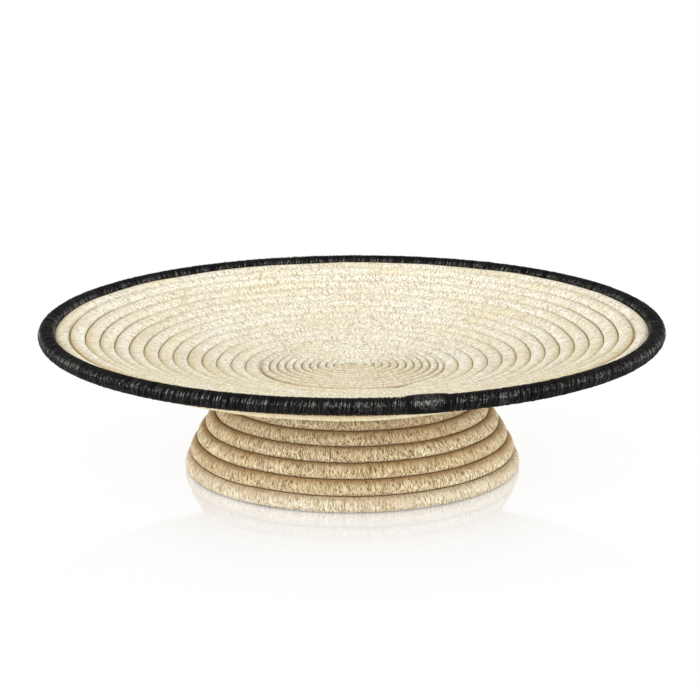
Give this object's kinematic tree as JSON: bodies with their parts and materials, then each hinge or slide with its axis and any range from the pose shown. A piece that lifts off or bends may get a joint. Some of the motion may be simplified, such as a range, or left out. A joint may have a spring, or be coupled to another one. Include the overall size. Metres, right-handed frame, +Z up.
{
  "type": "coiled pedestal tray",
  "caption": "Shallow round tray of wrapped abaca rope coils with a black bound rim, on a flared coiled foot, for fruit, bread or display.",
  "frame": {"origin": "under the centre of the tray, on the surface that the foot stands on", "axes": "+Z up along the tray's axis, -Y towards the front of the picture, +X to its right"},
  "size_m": [0.45, 0.45, 0.1095],
  "materials": {
    "natural_abaca": "matte wrapped strands",
    "golden_abaca": "matte wrapped strands",
    "black_abaca": "satin wrapped strands",
    "core_fibre": "matte fibre bundle"
  },
  "bodies": {
    "root": {"centre_knot": "natural_abaca", "floor_coil": "natural_abaca", "foot_coil_core": "core_fibre", "foot_coil_wrap": "golden_abaca", "foot_stitch_01": "golden_abaca", "foot_stitch_02": "golden_abaca", "foot_stitch_03": "golden_abaca", "foot_stitch_04": "golden_abaca", "foot_stitch_05": "golden_abaca", "foot_stitch_06": "golden_abaca", "foot_stitch_07": "golden_abaca", "foot_stitch_08": "golden_abaca", "foot_stitch_09": "golden_abaca", "foot_stitch_10": "golden_abaca", "foot_stitch_11": "golden_abaca", "foot_stitch_12": "golden_abaca", "foot_stitch_13": "golden_abaca", "foot_stitch_14": "golden_abaca", "foot_stitch_15": "golden_abaca", "foot_stitch_16": "golden_abaca", "foot_stitch_17": "golden_abaca", "foot_stitch_18": "golden_abaca", "rim_core": "core_fibre", "rim_splice_binding": "black_abaca", "rim_wrap": "black_abaca", "wall_coil_core": "core_fibre", "wall_coil_wrap": "natural_abaca"}
  },
  "joints": []
}
